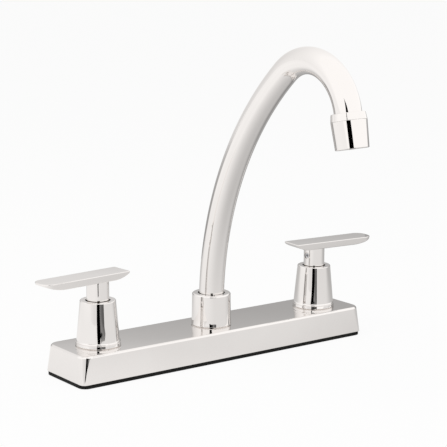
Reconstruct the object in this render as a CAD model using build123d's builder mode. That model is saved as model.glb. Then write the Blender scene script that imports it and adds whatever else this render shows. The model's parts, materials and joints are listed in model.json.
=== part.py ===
"""Two-handle kitchen tap on a deck plate, with a swivelling gooseneck spout.

Millimetres. The origin is the middle of the deck plate's footprint on the sink deck, with +Z up,
+X towards the cold valve and -Y towards the person at the sink. The handles are closed.
"""
from build123d import *
from math import cos, radians, sin, tan
import os

os.makedirs("parts", exist_ok=True)

# ---- Clearances -------------------------------------------------------------------------------
RUNNING_CLEARANCE = 0.05     # radial, shafts and seals that turn in a bore
THREAD_CLEARANCE = 0.05      # radial, threads drawn as plain cylinders
LOOSE_CLEARANCE = 0.3        # radial, plate and washer holes round fixed parts
SEAT_CLEARANCE = 0.05        # axial, between faces that slide or bed on each other

# ---- Deck plate and gasket --------------------------------------------------------------------
VALVE_SPACING = 203.2        # eight-inch centres
GASKET_THICKNESS = 2.7
GASKET_INSET = 0.2
PLATE_LENGTH = 261.8
PLATE_DEPTH = 51.8
PLATE_HEIGHT = 20.3
PLATE_DRAFT = 2.1            # degrees
PLATE_CORNER_RADIUS = 6.0
PLATE_EDGE_RADIUS = 1.7
PLATE_WALL = 1.8
RIB_THICKNESS = 1.6
RIB_DEPTH = 2.4
RIB_OFFSETS = (28.0, 56.0)   # ribs under the top skin, from the middle, on both sides

# ---- Shanks and their fixings under the deck --------------------------------------------------
SHANK_DIAMETER = 20.955      # half-inch pipe thread
SHANK_LENGTH = 52.0          # below the deck face
SHANK_BORE = 13.0
SHANK_CHAMFER = 1.0
HOSE_THREAD_LENGTH = 26.0    # the stretch that the supply hose screws on to
RELIEF_WIDTH = 1.6
RELIEF_DEPTH = 0.8
DECK_GAP = 12.0              # thickness of deck between the gasket and the washer
LOCK_WASHER_DIAMETER = 36.0
LOCK_WASHER_THICKNESS = 1.6
LOCKNUT_ACROSS_FLATS = 30.0
LOCKNUT_HEIGHT = 7.0
LOCKNUT_CHAMFER = 0.8

# ---- Valve bodies and waterway ----------------------------------------------------------------
FOOT_DIAMETER = 31.0
FOOT_THICKNESS = 3.6
BARREL_DIAMETER = 27.2
BARREL_RISE = 10.0           # above the plate
SEAT_HEIGHT = 8.0            # face that the cartridge seals on
SEAT_THICKNESS = 3.0
SEAT_BORE = 11.0
CHAMBER_DIAMETER = 19.2
CARTRIDGE_THREAD = 20.955    # half-inch pipe thread
CARTRIDGE_THREAD_LENGTH = 13.0
PORT_HEIGHT = 13.0           # axis of the cross tubes
PORT_BORE = 8.0
PORT_BOSS_DIAMETER = 14.0
PORT_BOSS_LENGTH = 5.0
PORT_SOCKET_DEPTH = 3.5
CROSS_TUBE_DIAMETER = 10.0

# ---- Ceramic cartridges -----------------------------------------------------------------------
SEAL_THICKNESS = 2.0
DISC_THICKNESS = 2.6
DISC_DIAMETER = 14.2
DISC_PORT_DIAMETER = 3.4
DISC_PORT_OFFSET = 3.8
DISC_SLOT_DEPTH = 1.1
SKIRT_DIAMETER = 16.4
WINDOW_WIDTH = 8.0
WINDOW_HEIGHT = 3.4
HEADWORK_HEX = 19.0
HEADWORK_HEX_HEIGHT = 7.0
HEADWORK_NECK_DIAMETER = 13.2
HEADWORK_NECK_HEIGHT = 4.0
STEM_DIAMETER = 9.0
STEM_FOOT_DIAMETER = 12.4
STEM_BAR_WIDTH = 4.0         # the foot is a bar below, clear of the moving disc's ports
STEM_BAR_HEIGHT = 1.9
TANG_WIDTH = 2.0
TANG_LENGTH = 8.6
RING_GROOVE_WIDTH = 2.2
RING_GROOVE_DEPTH = 1.0
CIRCLIP_THICKNESS = 0.8
CIRCLIP_DIAMETER = 12.0
CIRCLIP_GAP = 3.0
SPLINE_TEETH = 20
SPLINE_DIAMETER = 8.0
SPLINE_TOOTH_DEPTH = 0.45
SPLINE_TOP = 66.5            # height of the stem's end

# ---- Bells ------------------------------------------------------------------------------------
BELL_TOP = 56.2              # height of the rim
BELL_TOP_DIAMETER = 25.9
BELL_CONE_DIAMETER = 31.3    # at the foot of the cone
BELL_CONE_FOOT = 4.6         # height of the cone's foot above the plate
BELL_RING_DIAMETER = 33.2
BELL_RING_HEIGHT = 2.4
BELL_RING_DRAFT = 6.0        # degrees, the ring's wall leans in towards its top
BELL_FOOT_CHAMFER = 0.7
BELL_COVE_RADIUS = 1.6       # hollow curve between the ring and the cone
BELL_WALL = 1.5
BELL_RIM_RADIUS = 0.7
BELL_MOUTH_CLEARANCE = 0.8   # radial, round the handle's neck

# ---- Handles ----------------------------------------------------------------------------------
HANDLE_TOE_IN = 5.0          # degrees, outer ends forward of the plate's long axis when closed
NECK_DIAMETER = 16.5         # at its foot
NECK_DRAFT = 1.2             # degrees
NECK_FOOT = 56.1             # height of the neck's lower end, just inside the bell's mouth
NECK_CHAMFER = 0.5
BLADE_TOP = 75.7             # height of the flat top
BLADE_THICKNESS = 5.4
BLADE_WIDTH = 19.0
BLADE_OUTER_REACH = 51.6     # from the valve's axis
BLADE_INNER_REACH = 22.6
BLADE_END_BOW = 1.4
BLADE_OUTER_CORNER = 7.5
BLADE_INNER_CORNER = 1.2
BLADE_DRAFT = 10.0           # degrees
BLADE_TIP_THICKNESS = 1.2
BLADE_OUTER_RUNOUT = 18.5    # length over which the underside rises to the tip
BLADE_INNER_RUNOUT = 13.0
BLADE_EDGE_RADIUS = 0.45
INSERT_DIAMETER = 11.0
INSERT_HEIGHT = 12.6
INSERT_ROOF = 1.5
SET_SCREW_DIAMETER = 4.0
SET_SCREW_LENGTH = 3.4
SET_SCREW_HEIGHT = 64.5
SET_SCREW_TURN = 7.0         # degrees, from the blade's inner end towards the front
SET_SCREW_SOCKET = 2.0       # across flats

# ---- Spout ------------------------------------------------------------------------------------
TUBE_DIAMETER = 19.05        # three-quarter-inch tube
TUBE_WALL = 1.0
RISER_BEND_RADIUS = 242.5    # long lean-out curve
RISER_BEND_ANGLE = 49.3
CROOK_BEND_RADIUS = 40.5     # tight turn over the top
CROOK_BEND_ANGLE = 118.3
BEND_START_DEPTH = 10.1      # below the collar's top
TUBE_END_RUN = 4.0           # straight end inside the outlet ring
COLLAR_TOP = 47.6
COLLAR_TOP_DIAMETER = 29.2
COLLAR_WAIST_DIAMETER = 30.1 # where the cone ends and the foot flares out
COLLAR_WAIST_HEIGHT = 4.4    # above the plate
COLLAR_FOOT_DIAMETER = 30.6
COLLAR_FOOT_HEIGHT = 1.5
COLLAR_FOOT_CHAMFER = 0.8
COLLAR_RIM_RADIUS = 1.2
COLLAR_MOUTH_CLEARANCE = 0.5 # radial, round the tube, which already leans a little there
COLLAR_WEB = 4.7
POST_DIAMETER = 26.0
POST_BORE = 23.2
POST_FLOOR = 8.0
BEARING_THICKNESS = 0.6
SLEEVE_FLANGE_DIAMETER = 25.2
SLEEVE_FLANGE_THICKNESS = 2.0
SLEEVE_FOOT = 18.0           # height of the sleeve's lower end
SLEEVE_LIP = 1.0
SPOUT_RING_HEIGHTS = (22.0, 27.0)

# ---- Outlet, measured along the spout's end from where the tube enters the ring ----------------
OUTLET_RING_TOP_DIAMETER = 23.4
OUTLET_RING_DIAMETER = 24.8
OUTLET_RING_LENGTH = 5.2
OUTLET_RING_CHAMFER = 0.6
OUTLET_SPIGOT_DIAMETER = 21.6
OUTLET_SPIGOT_LENGTH = 5.8
AERATOR_END_DIAMETER = 23.0
AERATOR_LENGTH = 19.0
AERATOR_LIP = 1.6
AERATOR_MOUTH_DIAMETER = 18.4
AERATOR_CHAMFER = 0.4
AERATOR_WASHER_THICKNESS = 1.6
AERATOR_CORE_DIAMETER = 20.4
SCREEN_THICKNESS = 0.6
SCREEN_HOLE_DIAMETER = 1.5
SCREEN_HOLE_PITCH = 2.4
CORE_HOLE_DIAMETER = 2.0
CORE_HOLE_COUNT = 12

# ---- Heights and places that follow -----------------------------------------------------------
VALVE_X = VALVE_SPACING / 2
PLATE_TOP = GASKET_THICKNESS + PLATE_HEIGHT
PLATE_CEILING = PLATE_TOP - PLATE_WALL
BARREL_TOP = PLATE_TOP + BARREL_RISE
SEAL_TOP = SEAT_HEIGHT + SEAL_THICKNESS
FIXED_DISC_TOP = SEAL_TOP + DISC_THICKNESS
MOVING_DISC_BOTTOM = FIXED_DISC_TOP + SEAT_CLEARANCE
MOVING_DISC_TOP = MOVING_DISC_BOTTOM + DISC_THICKNESS
STEM_BOTTOM = MOVING_DISC_TOP + SEAT_CLEARANCE
THREAD_BOTTOM = BARREL_TOP - CARTRIDGE_THREAD_LENGTH
STEM_BAR_TOP = STEM_BOTTOM + STEM_BAR_HEIGHT
STEM_FOOT_TOP = THREAD_BOTTOM - SEAT_CLEARANCE
HEX_TOP = BARREL_TOP + HEADWORK_HEX_HEIGHT
HEADWORK_TOP = HEX_TOP + HEADWORK_NECK_HEIGHT
CIRCLIP_BOTTOM = HEADWORK_TOP + SEAT_CLEARANCE
CIRCLIP_TOP = CIRCLIP_BOTTOM + CIRCLIP_THICKNESS
STEM_RING_HEIGHT = (BARREL_TOP + THREAD_BOTTOM) / 2
STEM_BORE = STEM_DIAMETER + 2 * RUNNING_CLEARANCE
INSERT_FOOT = NECK_FOOT + SEAT_CLEARANCE
UPPER_BEARING_TOP = COLLAR_TOP - COLLAR_WEB
FLANGE_TOP = UPPER_BEARING_TOP - BEARING_THICKNESS - SEAT_CLEARANCE
FLANGE_BOTTOM = FLANGE_TOP - SLEEVE_FLANGE_THICKNESS
POST_TOP = FLANGE_BOTTOM - SEAT_CLEARANCE - BEARING_THICKNESS
SLEEVE_DIAMETER = POST_BORE - 2 * RUNNING_CLEARANCE
SLEEVE_BORE = TUBE_DIAMETER + 2 * RUNNING_CLEARANCE
TUBE_BORE = TUBE_DIAMETER - 2 * TUBE_WALL
TUBE_FOOT = SLEEVE_FOOT + SLEEVE_LIP
BEND_START = COLLAR_TOP - BEND_START_DEPTH
SOCKET_DIAMETER = CROSS_TUBE_DIAMETER + 2 * RUNNING_CLEARANCE

# Direction and place of the outlet, from the spout's two bends
TURN = radians(RISER_BEND_ANGLE)
TOTAL_TURN = radians(RISER_BEND_ANGLE + CROOK_BEND_ANGLE)
OUTLET_Y = -(
    RISER_BEND_RADIUS * (1 - cos(TURN)) + CROOK_BEND_RADIUS * (cos(TURN) - cos(TOTAL_TURN))
)
OUTLET_Z = BEND_START + RISER_BEND_RADIUS * sin(TURN) + CROOK_BEND_RADIUS * (sin(TOTAL_TURN) - sin(TURN))
OUTLET_DIRECTION = Vector(0, -sin(TOTAL_TURN), cos(TOTAL_TURN))
OUTLET_AXIS = Axis((0, OUTLET_Y, OUTLET_Z), OUTLET_DIRECTION)
# Its x is the distance from the outlet's axis and its y the distance along the axis
OUTLET_SECTION = Plane(
    origin=(0, OUTLET_Y, OUTLET_Z),
    x_dir=(1, 0, 0),
    z_dir=(0, -OUTLET_DIRECTION.Z, OUTLET_DIRECTION.Y),
)
OUTLET_FACE = Plane(origin=(0, OUTLET_Y, OUTLET_Z), x_dir=(1, 0, 0), z_dir=OUTLET_DIRECTION)

SIDES = {"hot": -1, "cold": 1}


def valve_section(side):
    """Upright plane through a valve's axis: x is the distance from the axis, y the height."""
    return Plane(origin=(side * VALVE_X, 0, 0), x_dir=(1, 0, 0), z_dir=(0, -1, 0))


def valve_level(side, height):
    """Level plane on a valve's axis."""
    return Plane(origin=(side * VALVE_X, 0, height), x_dir=(1, 0, 0), z_dir=(0, 0, 1))


def valve_axis(side):
    return Axis((side * VALVE_X, 0, 0), (0, 0, 1))


def handle_direction(side):
    """Direction of a handle's outer end when it is closed."""
    toe_in = radians(HANDLE_TOE_IN)
    return Vector(side * cos(toe_in), -sin(toe_in), 0)


def handle_level(side, height):
    """Level plane on a valve's axis, with x towards the handle's outer end."""
    return Plane(origin=(side * VALVE_X, 0, height), x_dir=handle_direction(side), z_dir=(0, 0, 1))


def save(label, part):
    part.label = label
    export_step(part, f"parts/{label}.step")


# ---- Deck plate -------------------------------------------------------------------------------
with BuildPart() as deck_plate:
    with BuildSketch(Plane.XY.offset(GASKET_THICKNESS)):
        RectangleRounded(PLATE_LENGTH, PLATE_DEPTH, PLATE_CORNER_RADIUS)
    extrude(amount=PLATE_HEIGHT, taper=PLATE_DRAFT)
    fillet(deck_plate.faces().sort_by(Axis.Z)[-1].edges(), PLATE_EDGE_RADIUS)
    with BuildSketch(Plane.XY.offset(GASKET_THICKNESS)):
        RectangleRounded(
            PLATE_LENGTH - 2 * PLATE_WALL,
            PLATE_DEPTH - 2 * PLATE_WALL,
            PLATE_CORNER_RADIUS - PLATE_WALL,
        )
    extrude(amount=PLATE_HEIGHT - PLATE_WALL, taper=PLATE_DRAFT, mode=Mode.SUBTRACT)
    with BuildSketch(Plane.XY.offset(PLATE_CEILING - RIB_DEPTH)):
        with Locations([(s * x, 0) for s in SIDES.values() for x in RIB_OFFSETS]):
            Rectangle(RIB_THICKNESS, PLATE_DEPTH - 3 * PLATE_WALL)
    extrude(amount=RIB_DEPTH + PLATE_WALL / 2)
    with BuildSketch(Plane.XY.offset(PLATE_TOP)):
        Circle(POST_DIAMETER / 2 + LOOSE_CLEARANCE)
        with Locations((-VALVE_X, 0), (VALVE_X, 0)):
            Circle(BARREL_DIAMETER / 2 + LOOSE_CLEARANCE)
    extrude(amount=-2 * PLATE_WALL, mode=Mode.SUBTRACT)
save("deck_plate", deck_plate.part)

# ---- Gasket under the plate -------------------------------------------------------------------
with BuildPart() as base_gasket:
    with BuildSketch():
        RectangleRounded(
            PLATE_LENGTH - 2 * GASKET_INSET,
            PLATE_DEPTH - 2 * GASKET_INSET,
            PLATE_CORNER_RADIUS - GASKET_INSET,
        )
        with Locations((-VALVE_X, 0), (VALVE_X, 0)):
            Circle(SHANK_DIAMETER / 2 + LOOSE_CLEARANCE, mode=Mode.SUBTRACT)
    extrude(amount=GASKET_THICKNESS)
save("base_gasket", base_gasket.part)


# ---- Valve bodies: shank, foot, barrel and the side port to the spout --------------------------
def make_valve_body(name, side):
    shank = SHANK_DIAMETER / 2
    relief_bottom = -SHANK_LENGTH + HOSE_THREAD_LENGTH
    relief_top = relief_bottom + RELIEF_WIDTH
    foot_top = GASKET_THICKNESS + FOOT_THICKNESS
    boss_length = BARREL_DIAMETER / 2 + PORT_BOSS_LENGTH
    # Planes across the port, looking from the spout towards the valve
    port = Plane(
        origin=(side * (VALVE_X - boss_length), 0, PORT_HEIGHT), x_dir=(0, 1, 0), z_dir=(side, 0, 0)
    )
    with BuildPart() as valve_body:
        with BuildSketch(valve_section(side)):
            with BuildLine():
                Polyline(
                    (0, -SHANK_LENGTH),
                    (shank - SHANK_CHAMFER, -SHANK_LENGTH),
                    (shank, -SHANK_LENGTH + SHANK_CHAMFER),
                    (shank, relief_bottom),
                    (shank - RELIEF_DEPTH, relief_bottom),
                    (shank - RELIEF_DEPTH, relief_top),
                    (shank, relief_top),
                    (shank, GASKET_THICKNESS),
                    (FOOT_DIAMETER / 2, GASKET_THICKNESS),
                    (FOOT_DIAMETER / 2, foot_top),
                    (BARREL_DIAMETER / 2, foot_top),
                    (BARREL_DIAMETER / 2, BARREL_TOP),
                    (0, BARREL_TOP),
                    close=True,
                )
            make_face()
        revolve(axis=valve_axis(side))
        with BuildSketch(port):
            Circle(PORT_BOSS_DIAMETER / 2)
        extrude(amount=boss_length)
        with BuildSketch(valve_section(side)):
            with BuildLine():
                Polyline(
                    (0, -SHANK_LENGTH),
                    (SHANK_BORE / 2, -SHANK_LENGTH),
                    (SHANK_BORE / 2, SEAT_HEIGHT - SEAT_THICKNESS),
                    (SEAT_BORE / 2, SEAT_HEIGHT - SEAT_THICKNESS),
                    (SEAT_BORE / 2, SEAT_HEIGHT),
                    (CHAMBER_DIAMETER / 2, SEAT_HEIGHT),
                    (CHAMBER_DIAMETER / 2, THREAD_BOTTOM),
                    (CARTRIDGE_THREAD / 2, THREAD_BOTTOM),
                    (CARTRIDGE_THREAD / 2, BARREL_TOP),
                    (0, BARREL_TOP),
                    close=True,
                )
            make_face()
        revolve(axis=valve_axis(side), mode=Mode.SUBTRACT)
        with BuildSketch(port):
            Circle(PORT_BORE / 2)
        extrude(amount=boss_length, mode=Mode.SUBTRACT)
        with BuildSketch(port):
            Circle(SOCKET_DIAMETER / 2)
        extrude(amount=PORT_SOCKET_DEPTH, mode=Mode.SUBTRACT)
    save(f"{name}_valve_body", valve_body.part)


# ---- Lock washer and locknut under the deck ---------------------------------------------------
def make_lock_washer(name, side):
    with BuildPart() as lock_washer:
        with BuildSketch(valve_level(side, -DECK_GAP)):
            Circle(LOCK_WASHER_DIAMETER / 2)
            Circle(SHANK_DIAMETER / 2 + LOOSE_CLEARANCE, mode=Mode.SUBTRACT)
        extrude(amount=-LOCK_WASHER_THICKNESS)
    save(f"{name}_lock_washer", lock_washer.part)


def make_locknut(name, side):
    with BuildPart() as locknut:
        with BuildSketch(valve_level(side, -DECK_GAP - LOCK_WASHER_THICKNESS)):
            RegularPolygon(LOCKNUT_ACROSS_FLATS / 2, 6, major_radius=False)
            Circle(SHANK_DIAMETER / 2 + THREAD_CLEARANCE, mode=Mode.SUBTRACT)
        extrude(amount=-LOCKNUT_HEIGHT)
        chamfer(
            locknut.faces().sort_by(Axis.Z)[0].edges().filter_by(GeomType.LINE),
            LOCKNUT_CHAMFER,
        )
    save(f"{name}_locknut", locknut.part)


# ---- Cross tube from each valve to the spout post ----------------------------------------------
def make_cross_tube(name, side):
    post_face = POST_DIAMETER / 2 + PORT_BOSS_LENGTH
    valve_face = VALVE_X - BARREL_DIAMETER / 2 - PORT_BOSS_LENGTH
    start = post_face - PORT_SOCKET_DEPTH + SEAT_CLEARANCE
    end = valve_face + PORT_SOCKET_DEPTH - SEAT_CLEARANCE
    plane = Plane(origin=(side * start, 0, PORT_HEIGHT), x_dir=(0, 1, 0), z_dir=(side, 0, 0))
    with BuildPart() as cross_tube:
        with BuildSketch(plane):
            Circle(CROSS_TUBE_DIAMETER / 2)
            Circle(PORT_BORE / 2, mode=Mode.SUBTRACT)
        extrude(amount=end - start)
    save(f"{name}_cross_tube", cross_tube.part)


# ---- Ceramic cartridge: seal, housing, discs, stem, stem seal and circlip ----------------------
def make_seat_seal(name, side):
    with BuildPart() as seat_seal:
        with BuildSketch(valve_level(side, SEAT_HEIGHT)):
            Circle(SKIRT_DIAMETER / 2)
            Circle(SEAT_BORE / 2, mode=Mode.SUBTRACT)
        extrude(amount=SEAL_THICKNESS)
    save(f"{name}_seat_seal", seat_seal.part)


def make_cartridge_housing(name, side):
    cavity = DISC_DIAMETER / 2 + RUNNING_CLEARANCE
    thread = CARTRIDGE_THREAD / 2 - THREAD_CLEARANCE
    with BuildPart() as cartridge_housing:
        with BuildSketch(valve_section(side)):
            with BuildLine():
                Polyline(
                    (0, SEAL_TOP),
                    (SKIRT_DIAMETER / 2, SEAL_TOP),
                    (SKIRT_DIAMETER / 2, THREAD_BOTTOM),
                    (thread, THREAD_BOTTOM),
                    (thread, BARREL_TOP),
                    (HEADWORK_NECK_DIAMETER / 2, BARREL_TOP),
                    (HEADWORK_NECK_DIAMETER / 2, HEADWORK_TOP),
                    (0, HEADWORK_TOP),
                    close=True,
                )
            make_face()
        revolve(axis=valve_axis(side))
        with BuildSketch(valve_level(side, BARREL_TOP)):
            RegularPolygon(HEADWORK_HEX / 2, 6, major_radius=False)
        extrude(amount=HEADWORK_HEX_HEIGHT)
        with BuildSketch(valve_section(side)):
            with BuildLine():
                Polyline(
                    (0, SEAL_TOP),
                    (cavity, SEAL_TOP),
                    (cavity, THREAD_BOTTOM),
                    (STEM_BORE / 2, THREAD_BOTTOM),
                    (STEM_BORE / 2, HEADWORK_TOP),
                    (0, HEADWORK_TOP),
                    close=True,
                )
            make_face()
        revolve(axis=valve_axis(side), mode=Mode.SUBTRACT)
        with BuildSketch(valve_section(side)):
            with Locations((0, STEM_BOTTOM + WINDOW_HEIGHT / 2)):
                Rectangle(WINDOW_WIDTH, WINDOW_HEIGHT)
        extrude(amount=SKIRT_DIAMETER, both=True, mode=Mode.SUBTRACT)
    save(f"{name}_cartridge_housing", cartridge_housing.part)


def make_fixed_disc(name, side):
    with BuildPart() as fixed_disc:
        with BuildSketch(valve_level(side, SEAL_TOP)):
            Circle(DISC_DIAMETER / 2)
            with Locations((0, -DISC_PORT_OFFSET), (0, DISC_PORT_OFFSET)):
                Circle(DISC_PORT_DIAMETER / 2, mode=Mode.SUBTRACT)
        extrude(amount=DISC_THICKNESS)
    save(f"{name}_fixed_disc", fixed_disc.part)


def make_moving_disc(name, side):
    """Closed: its ports stand a quarter turn away from those of the fixed disc."""
    with BuildPart() as moving_disc:
        with BuildSketch(valve_level(side, MOVING_DISC_BOTTOM)):
            Circle(DISC_DIAMETER / 2)
            with Locations((-DISC_PORT_OFFSET, 0), (DISC_PORT_OFFSET, 0)):
                Circle(DISC_PORT_DIAMETER / 2, mode=Mode.SUBTRACT)
        extrude(amount=DISC_THICKNESS)
        with BuildSketch(valve_level(side, MOVING_DISC_TOP)):
            Rectangle(TANG_WIDTH + 2 * SEAT_CLEARANCE, TANG_LENGTH + 2 * SEAT_CLEARANCE)
        extrude(amount=-DISC_SLOT_DEPTH, mode=Mode.SUBTRACT)
    save(f"{name}_moving_disc", moving_disc.part)


def spline_points(radius):
    """Toothed outline of the stem's spline, as points round a circle of this tip radius."""
    step = 360 / SPLINE_TEETH
    points = []
    for tooth in range(SPLINE_TEETH):
        for share, depth in ((0.0, 0), (0.3, 0), (0.5, SPLINE_TOOTH_DEPTH), (0.8, SPLINE_TOOTH_DEPTH)):
            angle = radians((tooth + share) * step)
            points.append(((radius - depth) * cos(angle), (radius - depth) * sin(angle)))
    return points


def make_stem(name, side):
    shaft = STEM_DIAMETER / 2
    groove = shaft - RING_GROOVE_DEPTH
    groove_bottom = STEM_RING_HEIGHT - RING_GROOVE_WIDTH / 2
    groove_top = STEM_RING_HEIGHT + RING_GROOVE_WIDTH / 2
    root = SPLINE_DIAMETER / 2 - SPLINE_TOOTH_DEPTH
    clip_top = CIRCLIP_TOP + SEAT_CLEARANCE
    with BuildPart() as stem:
        with BuildSketch(valve_section(side)):
            with BuildLine():
                Polyline(
                    (0, STEM_BAR_TOP),
                    (STEM_FOOT_DIAMETER / 2, STEM_BAR_TOP),
                    (STEM_FOOT_DIAMETER / 2, STEM_FOOT_TOP),
                    (shaft, STEM_FOOT_TOP),
                    (shaft, groove_bottom),
                    (groove, groove_bottom),
                    (groove, groove_top),
                    (shaft, groove_top),
                    (shaft, HEADWORK_TOP),
                    (root, HEADWORK_TOP),
                    (root, clip_top),
                    (SPLINE_DIAMETER / 2, clip_top),
                    (SPLINE_DIAMETER / 2, NECK_FOOT),
                    (0, NECK_FOOT),
                    close=True,
                )
            make_face()
        revolve(axis=valve_axis(side))
        with BuildSketch(handle_level(side, NECK_FOOT)):
            Polygon(*spline_points(SPLINE_DIAMETER / 2), align=None)
        extrude(amount=SPLINE_TOP - NECK_FOOT)
        with BuildSketch(valve_level(side, STEM_BOTTOM)):
            Circle(STEM_FOOT_DIAMETER / 2)
            Rectangle(STEM_BAR_WIDTH, STEM_FOOT_DIAMETER, mode=Mode.INTERSECT)
        extrude(amount=STEM_BAR_HEIGHT)
        with BuildSketch(valve_level(side, STEM_BOTTOM)):
            Rectangle(TANG_WIDTH, TANG_LENGTH)
        extrude(amount=-DISC_SLOT_DEPTH)
    save(f"{name}_stem", stem.part)


def make_stem_seal(name, side):
    with BuildPart() as stem_seal:
        with BuildSketch(valve_level(side, STEM_RING_HEIGHT)):
            Circle(STEM_BORE / 2 - RUNNING_CLEARANCE / 2)
            Circle(STEM_DIAMETER / 2 - RING_GROOVE_DEPTH + RUNNING_CLEARANCE, mode=Mode.SUBTRACT)
        extrude(amount=RING_GROOVE_WIDTH / 2 - SEAT_CLEARANCE, both=True)
    save(f"{name}_stem_seal", stem_seal.part)


def make_circlip(name, side):
    with BuildPart() as circlip:
        with BuildSketch(valve_level(side, CIRCLIP_BOTTOM)):
            Circle(CIRCLIP_DIAMETER / 2)
            Circle(SPLINE_DIAMETER / 2 - SPLINE_TOOTH_DEPTH + RUNNING_CLEARANCE, mode=Mode.SUBTRACT)
            with Locations((0, CIRCLIP_DIAMETER / 2)):
                Rectangle(CIRCLIP_GAP, CIRCLIP_DIAMETER, mode=Mode.SUBTRACT)
        extrude(amount=CIRCLIP_THICKNESS)
    save(f"{name}_circlip", circlip.part)


# ---- Bell over each cartridge -------------------------------------------------------------------
def make_bell(name, side):
    bore = BARREL_DIAMETER / 2 + THREAD_CLEARANCE
    ring = BELL_RING_DIAMETER / 2
    ring_foot = PLATE_TOP + BELL_FOOT_CHAMFER
    ring_top = PLATE_TOP + BELL_RING_HEIGHT
    ring_inset = (ring_top - ring_foot) * tan(radians(BELL_RING_DRAFT))
    cone_foot = PLATE_TOP + BELL_CONE_FOOT
    mouth = NECK_DIAMETER / 2 + BELL_MOUTH_CLEARANCE
    ceiling = BELL_TOP - BELL_WALL
    with BuildPart() as bell:
        with BuildSketch(valve_section(side)):
            with BuildLine():
                Polyline(
                    (ring - ring_inset, ring_top),
                    (ring, ring_foot),
                    (ring - BELL_FOOT_CHAMFER, PLATE_TOP),
                    (bore, PLATE_TOP),
                    (bore, BARREL_TOP),
                    (BELL_TOP_DIAMETER / 2 - BELL_WALL, ceiling),
                    (mouth, ceiling),
                    (mouth, BELL_TOP),
                    (BELL_TOP_DIAMETER / 2, BELL_TOP),
                    (BELL_CONE_DIAMETER / 2, cone_foot),
                )
                RadiusArc(
                    (BELL_CONE_DIAMETER / 2, cone_foot), (ring - ring_inset, ring_top), -BELL_COVE_RADIUS
                )
            make_face()
        revolve(axis=valve_axis(side))
        rim = bell.faces().sort_by(Axis.Z)[-1].edges().sort_by(SortBy.RADIUS)[-1]
        fillet(rim, BELL_RIM_RADIUS)
    save(f"{name}_bell", bell.part)


# ---- Handle: neck and blade in one casting -------------------------------------------------------
def handle_section(side):
    """Upright plane along a handle: x is the distance outwards, y the height."""
    direction = handle_direction(side)
    normal = direction.cross(Vector(0, 0, 1))
    return Plane(origin=(side * VALVE_X, 0, 0), x_dir=direction, z_dir=normal)


def set_screw_plane(side, distance):
    """Upright plane across the set screw, which is under the blade's inner end, facing outwards."""
    outwards = (-handle_direction(side)).rotate(Axis.Z, side * SET_SCREW_TURN)
    origin = Vector(side * VALVE_X, 0, SET_SCREW_HEIGHT) + outwards * distance
    return Plane(origin=origin, x_dir=(0, 0, 1), z_dir=outwards)


def make_handle(name, side):
    half_width = BLADE_WIDTH / 2
    tip = BLADE_TOP - BLADE_TIP_THICKNESS
    underside = BLADE_TOP - BLADE_THICKNESS
    rise = BLADE_THICKNESS - BLADE_TIP_THICKNESS
    neck_top = BLADE_TOP - BLADE_THICKNESS / 2
    outer_radius = (BLADE_OUTER_RUNOUT**2 + rise**2) / (2 * rise)
    inner_radius = (BLADE_INNER_RUNOUT**2 + rise**2) / (2 * rise)
    outer_flat = BLADE_OUTER_REACH - BLADE_OUTER_RUNOUT
    inner_flat = BLADE_INNER_REACH - BLADE_INNER_RUNOUT
    with BuildPart() as handle:
        with BuildSketch(handle_level(side, BLADE_TOP)) as outline:
            with BuildLine():
                Polyline(
                    (BLADE_OUTER_REACH - BLADE_END_BOW, half_width),
                    (-BLADE_INNER_REACH, half_width),
                    (-BLADE_INNER_REACH, -half_width),
                    (BLADE_OUTER_REACH - BLADE_END_BOW, -half_width),
                )
                ThreePointArc(
                    (BLADE_OUTER_REACH - BLADE_END_BOW, -half_width),
                    (BLADE_OUTER_REACH, 0),
                    (BLADE_OUTER_REACH - BLADE_END_BOW, half_width),
                )
            make_face()
            fillet(outline.vertices().sort_by(Axis.X)[-2:], BLADE_OUTER_CORNER)
            fillet(outline.vertices().sort_by(Axis.X)[:2], BLADE_INNER_CORNER)
        extrude(amount=-BLADE_THICKNESS, taper=BLADE_DRAFT)
        with BuildSketch(handle_section(side)):
            with BuildLine():
                Line((-inner_flat, underside), (outer_flat, underside))
                RadiusArc((outer_flat, underside), (BLADE_OUTER_REACH, tip), outer_radius)
                Polyline(
                    (BLADE_OUTER_REACH, tip),
                    (BLADE_OUTER_REACH, BLADE_TOP),
                    (-BLADE_INNER_REACH, BLADE_TOP),
                    (-BLADE_INNER_REACH, tip),
                )
                RadiusArc((-BLADE_INNER_REACH, tip), (-inner_flat, underside), inner_radius)
            make_face()
        extrude(amount=BLADE_WIDTH, both=True, mode=Mode.INTERSECT)
        fillet(handle.faces().sort_by(Axis.Z)[-1].edges(), BLADE_EDGE_RADIUS)
        with BuildSketch(handle_section(side)):
            Polygon(
                (0, NECK_FOOT),
                (NECK_DIAMETER / 2 - NECK_CHAMFER, NECK_FOOT),
                (NECK_DIAMETER / 2, NECK_FOOT + NECK_CHAMFER),
                (NECK_DIAMETER / 2 - (neck_top - NECK_FOOT) * tan(radians(NECK_DRAFT)), neck_top),
                (0, neck_top),
                align=None,
            )
        revolve(axis=valve_axis(side))
        with BuildSketch(handle_level(side, NECK_FOOT)):
            Circle(INSERT_DIAMETER / 2 + RUNNING_CLEARANCE)
        extrude(amount=INSERT_HEIGHT + 2 * SEAT_CLEARANCE, mode=Mode.SUBTRACT)
        with BuildSketch(set_screw_plane(side, 0)):
            Circle(SET_SCREW_DIAMETER / 2 + THREAD_CLEARANCE)
        extrude(amount=NECK_DIAMETER, mode=Mode.SUBTRACT)
    save(f"{name}_handle", handle.part)


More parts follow.
